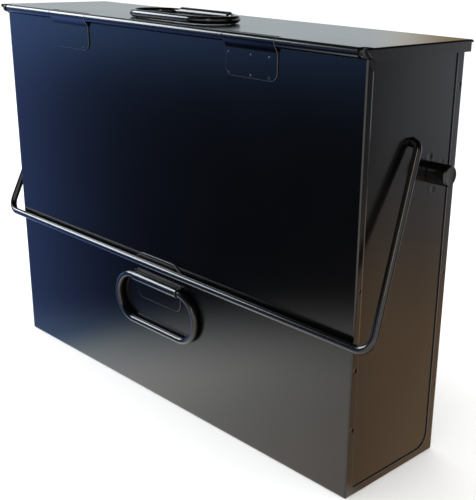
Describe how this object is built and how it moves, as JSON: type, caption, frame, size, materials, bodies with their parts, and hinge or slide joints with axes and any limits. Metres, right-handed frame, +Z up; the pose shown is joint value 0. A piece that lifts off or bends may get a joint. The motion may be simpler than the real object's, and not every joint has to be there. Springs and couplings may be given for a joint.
{
  "type": "sheet steel safe case",
  "caption": "Upright black sheet-steel safe case with a lift-up lid, a swing-up front cover, a swinging wire bail, side pegs and two folding ring handles.",
  "frame": {"origin": "centre of the case's footprint, on the surface that it stands on", "axes": "+Z up, -Y out of the front cover, +X to the right seen from the front, along the width and the hinge rod"},
  "size_m": [0.4938, 0.1212, 0.3447],
  "materials": {
    "case_paint": "black satin powder coat",
    "lid_paint": "black satin powder coat",
    "handle_paint": "black gloss coat on wire and clips",
    "peg_paint": "black gloss coat on turned pegs",
    "bare_steel": "zinc plated"
  },
  "bodies": {
    "case": {"body_wrap": "case_paint", "side_panel_right": "case_paint", "side_panel_left": "case_paint", "cover_stop_strip": "case_paint", "hinge_rod": "bare_steel", "rod_end_caps": "case_paint", "bail_doubler_right": "case_paint", "bail_doubler_left": "case_paint", "side_peg_right": "peg_paint", "side_peg_left": "peg_paint", "peg_screws": "bare_steel", "peg_washers": "bare_steel", "front_handle_clip": "handle_paint"},
    "lid": {"lid_panel": "lid_paint", "lid_handle_clip": "handle_paint"},
    "lid_ring": {"lid_ring_handle": "handle_paint"},
    "cover": {"cover_panel": "case_paint", "hinge_plate_right": "case_paint", "hinge_plate_left": "case_paint", "cover_tab": "case_paint"},
    "bail": {"bail_wire": "handle_paint", "bail_retainers": "bare_steel"},
    "front_ring": {"front_ring_handle": "handle_paint"}
  },
  "joints": [
    {"name": "lid_hinge", "type": "hinge", "parent": "case", "child": "lid", "pos_m": [0, -0.0565, 0.3335], "axis": [1, 0, 0], "range_deg": [0, 115]},
    {"name": "cover_hinge", "type": "hinge", "parent": "case", "child": "cover", "pos_m": [0, -0.0565, 0.3335], "axis": [-1, 0, 0], "range_deg": [0, 95]},
    {"name": "bail_swing", "type": "hinge", "parent": "case", "child": "bail", "pos_m": [0, 0, 0.269], "axis": [-1, 0, 0], "range_deg": [0, 272]},
    {"name": "lid_ring_swing", "type": "hinge", "parent": "lid", "child": "lid_ring", "pos_m": [0, 0.001, 0.3404], "axis": [-1, 0, 0], "range_deg": [0, 180]},
    {"name": "front_ring_swing", "type": "hinge", "parent": "case", "child": "front_ring", "pos_m": [0, -0.0584, 0.1135], "axis": [-1, 0, 0], "range_deg": [0, 135]}
  ],
  "couplings": [
    {"joint": "bail_swing", "follows": "cover_hinge", "ratio": 2.8631}
  ]
}
